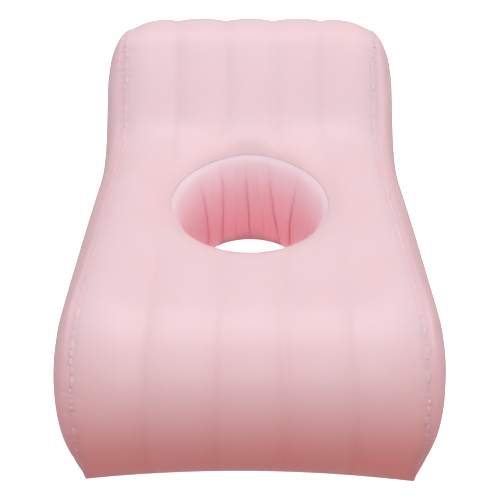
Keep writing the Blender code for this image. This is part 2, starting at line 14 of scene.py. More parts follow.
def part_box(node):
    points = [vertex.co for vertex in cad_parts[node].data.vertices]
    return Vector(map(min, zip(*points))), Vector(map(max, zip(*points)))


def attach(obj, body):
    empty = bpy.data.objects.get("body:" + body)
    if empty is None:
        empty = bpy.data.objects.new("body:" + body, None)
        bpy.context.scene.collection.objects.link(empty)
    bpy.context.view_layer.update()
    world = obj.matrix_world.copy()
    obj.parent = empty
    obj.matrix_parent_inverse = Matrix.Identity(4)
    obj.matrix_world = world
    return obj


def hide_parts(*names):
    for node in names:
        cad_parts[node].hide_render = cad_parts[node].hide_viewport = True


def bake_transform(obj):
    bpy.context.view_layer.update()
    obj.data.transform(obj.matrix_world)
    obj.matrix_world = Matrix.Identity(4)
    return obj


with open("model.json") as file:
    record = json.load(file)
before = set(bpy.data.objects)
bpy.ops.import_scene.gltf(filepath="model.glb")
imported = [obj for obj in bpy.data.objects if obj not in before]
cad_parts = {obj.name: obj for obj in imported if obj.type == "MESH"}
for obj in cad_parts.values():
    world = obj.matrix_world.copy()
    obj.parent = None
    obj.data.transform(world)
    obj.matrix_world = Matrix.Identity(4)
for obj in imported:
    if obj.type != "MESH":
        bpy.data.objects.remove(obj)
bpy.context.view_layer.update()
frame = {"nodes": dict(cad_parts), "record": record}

# ---- sizes, in metres ---------------------------------------------------------------------------

STRIP_LOW, STRIP_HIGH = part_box("top_strip")
FLOOR_LOW, FLOOR_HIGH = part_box("floor_panel")
SLEEVE_LOW, SLEEVE_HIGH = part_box("hole_sleeve")
VALVE_LOW, VALVE_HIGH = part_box("valve_base")

# The side profile. Heights are over the floor, and distances run back from the front floor seam.
WIDTH = STRIP_HIGH.x - STRIP_LOW.x  # between the two side seams
CELLS = 5  # the webs part the inside into these
CELL = WIDTH / CELLS
WEBS = (-1.5, -0.5, 0.5, 1.5)  # places of the webs, in cells from the middle
LENGTH = 1.071
FRONT_Y = (FLOOR_LOW.y + FLOOR_HIGH.y - LENGTH) / 2
SEAT_Z, SEAT_DIP, NOSE_LEAN = 0.283, 0.019, 0.008
BACK_START, BACK_SLOPE = 0.728, math.radians(43.6)
NOSE_R, FILLET_R, TOP_R = 0.185, 0.18, 0.09
NOSE_PULL, TOP_PULL = 0.012, 0.022  # how far the outer cells are drawn in over a round
PUFF = 0.0055  # rise of each cell between its webs
PUFF_EASE = 0.10  # distance from a floor seam in which the cells get their full rise
FRONT_BOW, FRONT_SKEW, REAR_SHARE = 0.018, 0.005, 0.6  # the floor seams curve in towards the middle
BOW_Z = 0.11  # height at which that curve has died out

# The round hole, its sunk lip and its lining.
HOLE_Y = (SLEEVE_LOW.y + SLEEVE_HIGH.y) / 2
HOLE_H = HOLE_Y - FRONT_Y
RIM_R, THROAT_R = 0.177, 0.155
LIP_R, LIP_DROP = 0.215, 0.012
RIM_ROUND = 0.38  # share of the lining's height in which it rounds over from the rim
LOBE = 0.013  # how far the lining puffs out between two folds
LINING_SLACK = 0.007  # how far the folds lie back behind the plain wall

# The side panels.
SIDE_BULGE, SIDE_REACH = 0.056, 0.10  # rise at the front, and distance from the seam that it takes
BACK_BULGE, BACK_REACH = 0.009, 0.01  # added to those towards the back
SIDE_FLOOR_REACH = 0.26  # height at which the bulge is full
HIGH_Z, HIGH_FALL, HIGH_LOSS = 0.34, 0.12, 0.35  # the bulge gets flatter up the back rest

# The valve on the back.
VALVE = ((VALVE_LOW.x + VALVE_HIGH.x) / 2, (VALVE_LOW.z + VALVE_HIGH.z) / 2)
SOCKET_DEPTH, SOCKET_R = 0.020, 0.0148
VALVE_SKIN_Y = VALVE_LOW.y + SOCKET_DEPTH  # the flange's underside, where the socket ends
VALVE_FLAT_R = 0.034  # the film lies flat out to here
REAR_RUN = 0.4  # distance up the back, from the floor seam, that surely holds the valve


# ---- the side profile ---------------------------------------------------------------------------


def eased(columns, reach):
    """Each column, smoothed over 2 x reach rows; straight runs stay as they are."""
    kernel = np.hanning(2 * reach + 3)[1:-1]
    kernel /= kernel.sum()
    padded = np.pad(columns, [(reach, reach), (0, 0)], mode="reflect", reflect_type="odd")
    return np.stack([np.convolve(column, kernel, mode="valid") for column in padded.T], axis=1)


def profile_table(step=0.001):
    """Arrays s, h, z, nh, nz, pull along the strip, from the front floor seam to the rear one."""
    seat_end = SEAT_Z - SEAT_DIP
    top = seat_end + (LENGTH - BACK_START) * math.tan(BACK_SLOPE)
    corners = [(0, 0), (NOSE_LEAN, SEAT_Z), (BACK_START, seat_end), (LENGTH, top), (LENGTH, 0)]
    corners = [np.array(c, float) for c in corners]
    rounds = {1: (NOSE_R, NOSE_PULL), 2: (FILLET_R, 0.0), 3: (TOP_R, TOP_PULL)}
    found, last = [], corners[0]

    def run(a, b):
        along = (b - a) / np.linalg.norm(b - a)
        normal = np.array([-along[1], along[0]])
        for t in np.arange(0, np.linalg.norm(b - a), step):
            found.append((*(a + along * t), *normal, 0.0))

    for i in (1, 2, 3):
        radius, pull = rounds[i]
        a = corners[i] - corners[i - 1]
        b = corners[i + 1] - corners[i]
        a, b = a / np.linalg.norm(a), b / np.linalg.norm(b)
        turn = math.atan2(a[0] * b[1] - a[1] * b[0], a @ b)
        start = corners[i] - a * radius * math.tan(abs(turn) / 2)
        run(last, start)
        side = math.copysign(1, turn)
        left = np.array([-a[1], a[0]])
        centre = start + left * side * radius
        count = int(abs(turn) * radius / step)
        for k in range(count):
            angle = turn * k / count
            c, s = math.cos(angle), math.sin(angle)
            normal = np.array([c * left[0] - s * left[1], s * left[0] + c * left[1]])
            place = centre - normal * side * radius
            found.append((*place, *normal, pull * math.sin(math.pi * k / count)))
        c, s = math.cos(turn), math.sin(turn)
        normal = np.array([c * left[0] - s * left[1], s * left[0] + c * left[1]])
        last = centre - normal * side * radius
    run(last, corners[4])
    found.append((*corners[4], 1.0, 0.0, 0.0))
    table = np.array(found)
    # The film eases into each round: gently at the nose and the top, over a long way behind the seat.
    places, pulls = table[:, :2].copy(), table[:, 4].copy()
    mild, wide = eased(places, 30), eased(places, 75)
    near = np.clip(1.4 - np.abs(places[:, 0] - BACK_START) / 0.12, 0, 1)
    near = (near * near * (3 - 2 * near) * (places[:, 1] > 0.2))[:, None]
    places = mild * (1 - near) + wide * near
    along = np.gradient(places, axis=0)
    along /= np.linalg.norm(along, axis=1)[:, None]
    normals = eased(np.stack([-along[:, 1], along[:, 0]], axis=1), 12)
    normals /= np.linalg.norm(normals, axis=1)[:, None]
    table = np.column_stack([places, normals, eased(pulls[:, None], 15)])
    gap = np.linalg.norm(np.diff(places, axis=0), axis=1)
    return np.concatenate([[0], np.cumsum(gap)]), table


S, TABLE = profile_table()
S_END = S[-1]
SEAT_ROWS = (TABLE[:, 3] > 0.9) & (TABLE[:, 0] < BACK_START)
S_HOLE = float(np.interp(HOLE_H, TABLE[SEAT_ROWS, 0], S[SEAT_ROWS]))


def profile(s):
    """h, z, nh, nz, pull at a distance along the strip."""
    return [np.interp(s, S, TABLE[:, i]) for i in range(5)]


def from_valve(x, z):
    """Distance from the valve's axis."""
    return np.hypot(x - VALVE[0], z - VALVE[1])


def cell_wave(x):
    """0 at every web and seam, 1 in the middle of every cell."""
    share = (x / CELL + CELLS / 2) % 1.0
    return 4 * share * (1 - share)


def strip_at(x, s):
    """The strip's resting surface at (x, s), as an (n, 3) array in the row frame."""
    h, z, nh, nz, pull = profile(s)
    ends = np.clip(np.minimum(s, S_END - s) / PUFF_EASE, 0, 1)
    outer = np.clip((np.abs(x) - WIDTH / 2) / CELL + 1, 0, None)
    out = PUFF * cell_wave(x) * ends - pull * outer**2
    from_hole = np.hypot(x, h - HOLE_H)
    on_seat = (nz > 0.6) & (h < BACK_START + FILLET_R)
    inside = np.clip((LIP_R - from_hole) / (LIP_R - RIM_R), 0, 1.4) * on_seat
    out = out * (1 - np.clip(inside, 0, 1)) - LIP_DROP * inside**2.4
    low = np.clip(1 - z / BOW_Z, 0, 1) ** 2
    bow = FRONT_BOW * (1 - (x / (WIDTH / 2)) ** 2) * low
    skew = FRONT_SKEW * np.clip(0.5 + x / WIDTH, 0, 1) * low
    bow = np.where(s < S_END / 2, bow - skew, -REAR_SHARE * bow)
    return np.stack([x, FRONT_Y + h + nh * out + bow, z + nz * out], axis=1)


# ---- grids --------------------------------------------------------------------------------------

HALF = CELL  # half the side of the square block of the grid that the round hole takes
OUTER = 2 * CELL  # beyond this from the hole's centre, the grid is square again
COLUMNS_PER_CELL = 12
EXTRA_OUTER_COLUMNS, CROWDING = 3, 0.28  # closer columns towards the side seams
FINE = CELL / 22  # between rows
FLOOR_ROWS = 96


def round_hole(u, v, radius):
    """Moves a square grid's points so that the square block round the origin ends in a circle."""
    m = np.maximum(np.abs(u), np.abs(v))
    safe = np.maximum(m, 1e-9)
    qu, qv = u / safe, v / safe
    sideways = np.abs(qu) >= np.abs(qv)
    angle = np.where(sideways, qv * np.sign(qu), qu * np.sign(qv)) * math.pi / 4
    cu = np.where(sideways, np.sign(qu) * np.cos(angle), np.sign(qv) * np.sin(angle))
    cv = np.where(sideways, np.sign(qu) * np.sin(angle), np.sign(qv) * np.cos(angle))
    t = (m - HALF) / (OUTER - HALF)
    near_u = cu * radius + (qu * OUTER - cu * radius) * t
    near_v = cv * radius + (qv * OUTER - cv * radius) * t
    use = m < OUTER
    return np.where(use, near_u, u), np.where(use, near_v, v)


def steps(a, b, size):
    """Even places from a to b, without b itself."""
    return np.linspace(a, b, max(1, round((b - a) / size)) + 1)[:-1]


S_NOSE = float(S[np.argmax(TABLE[:, 3] > math.sin(math.radians(45)))])
S_TOP = float(S[len(S) - 1 - np.argmax(TABLE[::-1, 3] > math.cos(math.radians(10)))])
SIDE_ROWS = round(S_NOSE / FINE)
ROW_S = np.concatenate(
    [
        np.linspace(0, S_NOSE, SIDE_ROWS + 1)[:-1],
        steps(S_NOSE, S_HOLE - HALF, FINE),
        steps(S_HOLE - HALF, S_HOLE + HALF, FINE),
        steps(S_HOLE + HALF, S_TOP, FINE),
        np.linspace(S_TOP, S_END, SIDE_ROWS + 1),
    ]
)


def column_places():
    """Even columns, and in the two outer cells closer ones towards the side seam."""
    inner = np.linspace(-1.5 * CELL, 1.5 * CELL, 3 * COLUMNS_PER_CELL + 1)
    share = np.linspace(0, 1, COLUMNS_PER_CELL + EXTRA_OUTER_COLUMNS + 1)[1:]
    outer = 1.5 * CELL + CELL * (share + CROWDING * np.sin(math.pi * share) / math.pi)
    outer[-1] = WIDTH / 2
    return np.concatenate([-outer[::-1], inner, outer])


COLUMN_X = column_places()


def grid_faces(rows, columns, closed=False):
    """The quads of a grid of points; a closed grid runs round, from its last column to its first."""
    across = columns if closed else columns - 1
    i, j = np.meshgrid(np.arange(rows - 1), np.arange(across), indexing="ij")
    a = i * columns + j
    b = i * columns + (j + 1) % columns
    return np.stack([a, b, b + columns, a + columns], axis=-1).reshape(-1, 4)


def mesh_from(name, co, faces):
    """A smooth object from points and quads, and the numbers of the points that the quads use."""
    used = np.unique(faces)
    lookup = np.full(len(co), -1)
    lookup[used] = np.arange(len(used))
    data = bpy.data.meshes.new(name)
    data.from_pydata(co[used].tolist(), [], lookup[faces].tolist())
    data.update()
    made = bpy.data.objects.new(name, data)
    bpy.context.scene.collection.objects.link(made)
    data.shade_smooth()
    return made, used


class Panel:
    """A welded panel as a grid of points: where it rests, which are welded, and how slack it is."""

    def __init__(self, name, co, faces, pinned, slack=0.0):
        self.name, self.co, self.faces = name, co, faces
        self.pinned, self.slack = pinned, slack
        self.start = co.copy()


def make_strip():
    """The long sheet over the nose, seat, back rest and back, with the round hole in the seat."""
    x, s = np.meshgrid(COLUMN_X, ROW_S)
    x, s = x.ravel(), s.ravel()
    u, v = round_hole(x, s - S_HOLE, RIM_R)
    co = strip_at(u, S_HOLE + v)
    faces = grid_faces(len(ROW_S), len(COLUMN_X))
    fx, fs = x[faces].mean(axis=1), s[faces].mean(axis=1) - S_HOLE
    faces = faces[~((np.abs(fx) < HALF) & (np.abs(fs) < HALF))]
    on_weld = np.abs((x / CELL + CELLS / 2) - np.round(x / CELL + CELLS / 2)) < 1e-6
    past_hole = np.abs(s - S_HOLE) > OUTER - 1e-6
    edge = (s < 1e-9) | (s > S_END - 1e-9)
    block = np.maximum(np.abs(x), np.abs(s - S_HOLE))
    rim = np.abs(block - HALF) < 1e-6
    inner_weld = on_weld & np.where(np.abs(x) < CELL, block < HALF + 0.02, ~past_hole)
    inner_weld &= np.abs(x) < 2 * CELL
    on_valve = (s > S_END - REAR_RUN) & (from_valve(x, co[:, 2]) < VALVE_FLAT_R)
    co[on_valve, 1] = VALVE_SKIN_Y
    pinned = (on_weld & ~inner_weld) | edge | rim | on_valve
    panel = Panel("top_skin", co, faces, pinned, slack=0.004)
    panel.x, panel.s = u, S_HOLE + v
    return panel


def seam_points(s, side):
    """Places along a side seam."""
    return strip_at(np.full_like(s, side * WIDTH / 2), s)


def quarter_round(share):
    """Rises from 0 to 1 like a quarter of a circle, steeply at first."""
    return np.sqrt(1 - (1 - np.clip(share, 0, 1)) ** 2)


def coons(bottom, top, left, right):
    """A grid of points between four edges; bottom and top run the same way, left and right upwards."""
    n, m = len(bottom), len(left)
    u = np.linspace(0, 1, n)[None, :, None]
    v = np.linspace(0, 1, m)[:, None, None]
    ruled = (1 - v) * bottom[None] + v * top[None] + (1 - u) * left[:, None] + u * right[:, None]
    corners = (1 - u) * (1 - v) * bottom[0] + u * (1 - v) * bottom[-1]
    corners = corners + (1 - u) * v * top[0] + u * v * top[-1]
    return ruled - corners


def seam_tree(seam):
    """Finds the seam point nearest to a place, seen from the side."""
    tree = KDTree(len(seam))
    for i, place in enumerate(seam):
        tree.insert(Vector((0, place[1], place[2])), i)
    tree.balance()
    return tree


def make_side(name, side):
    """A side panel, between its seam with the strip and the floor, bulging outwards."""
    seam = seam_points(ROW_S, side)
    left = seam[: SIDE_ROWS + 1]
    top = seam[SIDE_ROWS : len(seam) - SIDE_ROWS]
    right = seam[len(seam) - SIDE_ROWS - 1 :][::-1]
    n = len(top)
    share = np.linspace(0, 1, n)[:, None]
    bottom = left[0] + (right[0] - left[0]) * share
    grid = coons(bottom, top, left, right)
    rows, columns = grid.shape[:2]
    flat = grid.reshape(-1, 3)
    tree = seam_tree(seam)
    away = np.array([tree.find(Vector((0, p[1], p[2])))[2] for p in flat])
    h, z = flat[:, 1] - FRONT_Y, flat[:, 2]
    back = np.clip((h - 0.25) / 0.5, 0, 1)
    high = np.clip((z - HIGH_Z) / HIGH_FALL, 0, 1)
    bulge = (SIDE_BULGE + BACK_BULGE * back) * (1 - HIGH_LOSS * high)
    reach = SIDE_REACH + BACK_REACH * back
    rise = quarter_round(away / reach) * quarter_round(z / SIDE_FLOOR_REACH)
    co = flat.copy()
    co[:, 0] = side * (WIDTH / 2 + bulge * rise)
    faces = grid_faces(rows, columns)
    if side < 0:
        faces = faces[:, ::-1]
    i, j = np.divmod(np.arange(rows * columns), columns)
    pinned = (i == 0) | (i == rows - 1) | (j == 0) | (j == columns - 1)
    panel = Panel(name, co, faces, pinned, slack=0.003)
    panel.side = side
    return panel


SLEEVE_COLUMNS, SLEEVE_STEPS = 408, 44
# Degrees round from the back of the hole: five plain folds there, smooth sides, more at the front.
FOLDS = [-46.4, -26.8, -2.7, 20.6, 44.0, 105, 130, 155, 180, 205, 230, 255]
BACK_LEAN = [0.0, 0.02, -0.06, -0.24, 0.0]
BACK_CURL = [0.02, -0.02, 0.01, 0.03, -0.02]


def make_sleeve():
    """The hole's lining: creases run down it, and between them the cloth puffs into the hole."""
    rng = np.random.default_rng(5)
    turn = 2 * math.pi * np.arange(SLEEVE_COLUMNS) / SLEEVE_COLUMNS
    t = np.linspace(0, 1, SLEEVE_STEPS + 1)
    angle, down = np.meshgrid(turn, t)
    angle, down = angle.ravel(), down.ravel()
    fold = np.radians(90 - np.array(FOLDS)) % (2 * math.pi)
    lean, curl = rng.normal(0, 0.05, len(fold)), rng.normal(0, 0.04, len(fold))
    lean[: len(BACK_LEAN)], curl[: len(BACK_CURL)] = BACK_LEAN, BACK_CURL
    size = rng.uniform(0.75, 1.15, len(fold))
    sway = lean[None] * (down[:, None] - 0.3) + curl[None] * np.sin(2 * math.pi * down[:, None])
    off = (angle[:, None] - fold[None] - sway + math.pi) % (2 * math.pi) - math.pi
    far = 9.0  # radians, more than any gap between folds
    left = np.where(off >= 0, off, far).min(axis=1)
    right = np.where(off < 0, -off, far).min(axis=1)
    share = left / (left + right)
    lobe = np.sqrt(np.clip(1 - np.abs(2 * share - 1) ** 2.4, 0, 1))
    nearest = np.abs(off).argmin(axis=1)
    body = np.sin(math.pi * down)
    fade = np.clip(down / 0.30, 0, 1) ** 1.5 * np.clip((1 - down) / 0.10, 0, 1) ** 0.5
    puff = LOBE * size[nearest] * lobe * fade
    radius = RIM_R + (THROAT_R - RIM_R) * quarter_round(down / RIM_ROUND)
    radius = radius - 0.001 * body - puff + LINING_SLACK * fade
    rim_s = S_HOLE + RIM_R * np.sin(turn)
    high = strip_at(RIM_R * np.cos(turn), rim_s)[:, 2]
    z = np.tile(high, len(t)) * (1 - down) + 0.001 * down
    y = HOLE_Y + radius * np.sin(angle)
    co = np.stack([radius * np.cos(angle), y, z], axis=1)
    faces = grid_faces(len(t), SLEEVE_COLUMNS, closed=True)
    pinned = (down < 1e-9) | (down > 1 - 1e-9)
    return Panel("sleeve_skin", co, faces, pinned)


def make_floor():
    """The flat bottom sheet, with the hole's throat in it."""
    x = COLUMN_X
    rows = np.linspace(0, LENGTH, FLOOR_ROWS)
    start = np.argmin(np.abs(rows - (HOLE_H - HALF)))
    end = np.argmin(np.abs(rows - (HOLE_H + HALF)))
    rows = np.concatenate(
        [
            np.linspace(0, HOLE_H - HALF, start + 1)[:-1],
            np.linspace(HOLE_H - HALF, HOLE_H + HALF, end - start + 1)[:-1],
            np.linspace(HOLE_H + HALF, LENGTH, len(rows) - end),
        ]
    )
    gx, gh = np.meshgrid(x, rows)
    gx, gh = gx.ravel(), gh.ravel()
    u, v = round_hole(gx, gh - HOLE_H, THROAT_R)
    faces = grid_faces(len(rows), len(x))[:, ::-1]
    fx, fh = gx[faces].mean(axis=1), gh[faces].mean(axis=1) - HOLE_H
    faces = faces[~((np.abs(fx) < HALF) & (np.abs(fh) < HALF))]
    bow = FRONT_BOW * (1 - (u / (WIDTH / 2)) ** 2)
    bow_run = 0.15
    h = HOLE_H + v
    front, back = np.clip(1 - h / bow_run, 0, 1), np.clip(1 - (LENGTH - h) / bow_run, 0, 1)
    h = h + bow * front - REAR_SHARE * bow * back
    # It curls up a little towards its edges and over the webs, and touches the floor at its seams.
    edge_lift, web_lift = 0.002, 0.0006
    edge = np.minimum(np.minimum(WIDTH / 2 - np.abs(u), h), LENGTH - h)
    z = edge_lift * (1 - np.clip(edge / 0.03, 0, 1)) ** 2 + web_lift * (1 - cell_wave(u)) ** 3
    z = np.where(edge < 1e-6, 0.0, z)
    co = np.stack([u, FRONT_Y + h, z], axis=1)
    return Panel("floor_skin", co, faces, np.ones(len(co), bool))


# ---- blowing the panels up ----------------------------------------------------------------------


def blow(panels, frames, tension, bending, force, mass=0.006):
    """Cloth, pinned along the welds, pushed out by one air pressure. All the panels run at once."""
    made = []
    for panel in panels:
        obj, used = mesh_from(panel.name + "_sim", panel.co, panel.faces)
        group = obj.vertex_groups.new(name="weld")
        pinned = np.nonzero(panel.pinned[used])[0]
        group.add(pinned.tolist(), 1.0, "REPLACE")
        cloth = obj.modifiers.new("air", "CLOTH")
        settings = cloth.settings
        settings.quality = 5
        settings.mass = mass
        settings.air_damping = 2.0
        settings.tension_stiffness = settings.compression_stiffness = tension
        settings.shear_stiffness = tension / 2
        settings.bending_stiffness = bending
        settings.tension_damping = settings.compression_damping = settings.shear_damping = 10
        settings.vertex_group_mass = "weld"
        settings.use_pressure = True
        settings.uniform_pressure_force = force
        settings.effector_weights.gravity = 0.0
        settings.shrink_min = -panel.slack
        cloth.point_cache.frame_start = 1
        cloth.point_cache.frame_end = frames + 1
        made.append((panel, obj, used))
    for step in range(1, frames + 1):
        bpy.context.scene.frame_set(step)
    graph = bpy.context.evaluated_depsgraph_get()
    for panel, obj, used in made:
        data = obj.evaluated_get(graph).to_mesh()
        co = np.empty(len(data.vertices) * 3, np.float32)
        data.vertices.foreach_get("co", co)
        moved = co.reshape(-1, 3) - panel.co[used]
        far = np.linalg.norm(moved, axis=1)
        print(panel.name, len(used), "moved mean", far.mean().round(5), "max", far.max().round(5))
        panel.co[used] = co.reshape(-1, 3)
        obj.evaluated_get(graph).to_mesh_clear()
        mesh = obj.data
        bpy.data.objects.remove(obj)
        bpy.data.meshes.remove(mesh)
    bpy.context.scene.frame_set(1)


def calmed(panel, rows, rounds, axes):
    """The panel with the shortest ripples smoothed out of what the air did to it."""
    moved = (panel.co - panel.start).reshape(rows, -1, 3)
    held = panel.pinned.reshape(rows, -1)
    for _ in range(rounds):
        for axis in axes:
            padded = np.pad(moved, [(1, 1) if i == axis else (0, 0) for i in range(3)], mode="edge")
            before = np.take(padded, range(0, moved.shape[axis]), axis)
            after = np.take(padded, range(2, moved.shape[axis] + 2), axis)
            moved = 0.5 * moved + 0.25 * (before + after)
            moved[held] = 0
    return panel.start + moved.reshape(-1, 3)


# ---- welds and puckers --------------------------------------------------------------------------


def wander(rng, size, spacing):
    """A smooth random line through points spacing apart: returns f(s) from -1 to 1."""
    knots = np.arange(0, size + 3 * spacing, spacing)
    values = rng.uniform(-1, 1, len(knots))

    def at(s):
        i = np.clip(s / spacing, 0, len(knots) - 2)
        k = i.astype(int)
        t = i - k
        t = t * t * (3 - 2 * t)
        return values[k] * (1 - t) + values[k + 1] * t

    return at


class Puckers:
    """Short creases that run off a weld at random places, with soft lobes between them."""

    def __init__(self, seed, length, spacing=0.016):
        rng = np.random.default_rng(seed)
        gaps = spacing * rng.uniform(0.55, 1.6, int(length / spacing * 1.3))
        self.at = np.cumsum(gaps)
        self.at = self.at[self.at < length]
        n = len(self.at)
        self.depth = rng.uniform(0.25, 1.0, n) ** 1.5
        self.width = rng.uniform(0.0035, 0.0060, n)
        self.reach = rng.uniform(0.008, 0.034, n)
        self.skew = rng.normal(0, 0.25, n)

    def height(self, s, away, strength):
        """How far the film moves at s along the weld and away from it."""
        total = np.zeros(len(s))
        rows = zip(self.at, self.depth, self.width, self.reach, self.skew)
        for at, depth, width, reach, skew in rows:
            near = np.nonzero((np.abs(s - at) < 0.04) & (away < 3 * reach))[0]
            if not len(near):
                continue
            a = away[near]
            across = (s[near] - at - skew * a) / (width * (1 + a / 0.03))
            env = np.clip(a / 0.004, 0, 1) * np.exp(-((a / reach) ** 2))
            total[near] -= depth * np.exp(-(across**2)) * env
        return total * strength


def pull_at(s):
    """How strongly the weld puckers along the strip: most over the two convex rounds."""
    nose_at, nose_spread = 0.20, 0.13
    top_at, top_spread = S_TOP - 0.03, 0.16
    nose = np.exp(-(((s - nose_at) / nose_spread) ** 2))
    top = np.exp(-(((s - top_at) / top_spread) ** 2))
    return 0.35 + 0.65 * np.maximum(nose, top)


def finer(obj, levels):
    """The object's mesh, subdivided, in its place."""
    if levels:
        sub = obj.modifiers.new("finer", "SUBSURF")
        sub.levels = sub.render_levels = levels
        sub.boundary_smooth = "PRESERVE_CORNERS"
        graph = bpy.context.evaluated_depsgraph_get()
        data = bpy.data.meshes.new_from_object(obj.evaluated_get(graph))
        old = obj.data
        obj.modifiers.clear()
        obj.data = data
        bpy.data.meshes.remove(old)
    return obj


def points_of(obj):
    """The object's points, as an (n, 3) array."""
    co = np.empty(len(obj.data.vertices) * 3, np.float32)
    obj.data.vertices.foreach_get("co", co)
    return co.reshape(-1, 3).astype(float)


def normals_of(obj):
    """The normals at its points."""
    n = np.empty(len(obj.data.vertices) * 3, np.float32)
    obj.data.vertex_normals.foreach_get("vector", n)
    return n.reshape(-1, 3).astype(float)


def push(obj, height):
    """Moves every point along its normal."""
    co = points_of(obj) + normals_of(obj) * height[:, None]
    obj.data.vertices.foreach_set("co", co.astype(np.float32).ravel())
    obj.data.update()


def add_field(obj, name, values):
    """Keeps a value per point, which subdivision then blends."""
    field = obj.data.attributes.new(name, "FLOAT", "POINT")
    field.data.foreach_set("value", values.astype(np.float32))


def read_field(obj, name):
    """A field's value at every point."""
    values = np.empty(len(obj.data.vertices), np.float32)
    obj.data.attributes[name].data.foreach_get("value", values)
    return values.astype(float)


def skin(panel, fields, levels=1):
    """The object of a panel, with its fields, subdivided."""
    obj, used = mesh_from(panel.name, panel.co, panel.faces)
    for name, values in fields.items():
        add_field(obj, name, values[used])
    return finer(obj, levels)


# ---- the skins ----------------------------------------------------------------------------------

strip = make_strip()
sides = [make_side("left_skin", 1), make_side("right_skin", -1)]
sleeve = make_sleeve()
floor = make_floor()
blow([strip, *sides], frames=20, tension=60, bending=0.5, force=14)
blow([sleeve], frames=14, tension=30, bending=0.2, force=20)
strip.co = calmed(strip, len(ROW_S), rounds=24, axes=(0,))
for panel in sides:
    panel.co = calmed(panel, SIDE_ROWS + 1, rounds=12, axes=(0, 1))

# The distance along the strip at which the CAD has the weld between top_strip and rear_panel. The last
# third of the profile holds the upright back, and is read from the floor up.
THIRD = len(S) // 3
S_REAR = float(np.interp(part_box("rear_panel")[1].z, TABLE[::-1, 1][:THIRD], S[::-1][:THIRD]))


def nearest_seam(panel):
    """For each point of a side panel, where along the strip the nearest seam point is, and how far."""
    tree = seam_tree(seam_points(ROW_S, panel.side))
    found = [tree.find(Vector((0, p[1], p[2]))) for p in panel.start]
    index = np.array([f[1] for f in found])
    return ROW_S[index], np.array([f[2] for f in found])


SEAM_PUCKERS = {1: Puckers(11, S_END), -1: Puckers(23, S_END)}
FRONT_PUCKERS = Puckers(31, WIDTH, spacing=0.021)
REAR_PUCKERS = Puckers(37, WIDTH, spacing=0.021)
STRIP_PUCKER, SIDE_PUCKER, FLOOR_PUCKER = 0.0016, 0.0014, 0.0012  # depths
CREASE_REACH, CREASE_HALF = 0.07, 0.009  # how far up from a floor seam the creases run, and how wide
CREASE_ALONG, CREASE_LOW = 0.0006, 0.0042  # their depth everywhere, and added near the floor


def finish_strip():
    """The long sheet's object, with its puckers and the creases along the webs."""
    obj = skin(strip, {"x": strip.x, "s": strip.s})
    x, s = read_field(obj, "x"), read_field(obj, "s")
    height = np.zeros(len(x))
    for side in (1, -1):
        away = np.where(x * side > 0, WIDTH / 2 - np.abs(x), 1.0)
        height += SEAM_PUCKERS[side].height(s, away, STRIP_PUCKER * pull_at(s))
    height += FRONT_PUCKERS.height(x + WIDTH / 2, s, FLOOR_PUCKER)
    height += REAR_PUCKERS.height(x + WIDTH / 2, S_END - s, FLOOR_PUCKER)
    # The skin swells beside each web's weld, which leaves a soft crease, deepest near the floor seams.
    low = np.exp(-((s / CREASE_REACH) ** 2)) + np.exp(-(((S_END - s) / CREASE_REACH) ** 2))
    swell = (CREASE_ALONG + CREASE_LOW * low) * np.clip(np.minimum(s, S_END - s) / 0.055, 0, 1)
    off = np.min([np.abs(x - web * CELL) for web in WEBS], axis=0)
    inside = np.clip((WIDTH / 2 - np.abs(x)) / 0.03, 0, 1)
    height += swell * (1 - np.exp(-((off / CREASE_HALF) ** 2))) * inside
    off_valve = np.clip((from_valve(x, points_of(obj)[:, 2]) - VALVE_FLAT_R) / 0.012, 0, 1)
    push(obj, height * np.where(s > S_END - REAR_RUN, off_valve, 1))
    return obj


def finish_side(panel):
    """A side panel's object, with the puckers of its seam."""
    s, away = nearest_seam(panel)
    obj = skin(panel, {"s": s, "away": away})
    s, away = read_field(obj, "s"), read_field(obj, "away")
    push(obj, SEAM_PUCKERS[panel.side].height(s, away, SIDE_PUCKER * pull_at(s)))
    return obj


def without(obj, drop):
    """Takes away the faces that have a point where drop is true."""
    bm = bmesh.new()
    bm.from_mesh(obj.data)
    bm.verts.ensure_lookup_table()
    gone = [face for face in bm.faces if any(drop[v.index] for v in face.verts)]
    bmesh.ops.delete(bm, geom=gone, context="FACES")
    bm.to_mesh(obj.data)
    bm.free()
    return obj


def cut_socket(obj):
    """Opens the back where the valve's socket runs through it."""
    place = points_of(obj)
    in_socket = from_valve(place[:, 0], place[:, 2]) < SOCKET_R
    without(obj, in_socket & (read_field(obj, "s") > S_REAR))


top = finish_strip()
cut_socket(top)
side_skins = [finish_side(panel) for panel in sides]
lining = skin(sleeve, {})
base = skin(floor, {}, levels=0)


# ---- the welded seams ---------------------------------------------------------------------------


BAND_SIDE = [0.0008, 0.0018, 0.003, 0.0045, 0.0065, 0.009, 0.012]  # its points beside the seam
BAND_STEP, BAND_GAP = 0.0011, 0.002  # between its points along the seam, and left at either end
BAND_LOBES = (0.007, 0.022)  # shortest and longest
BAND_TALL, BAND_HALF, BAND_SHIFT = 0.0052, 0.0034, 0.0018  # height, half width, way off the seam
BAND_DIP, BAND_TUCK = 0.0014, 0.0006  # the groove between lobes, and the edges' sink into the film


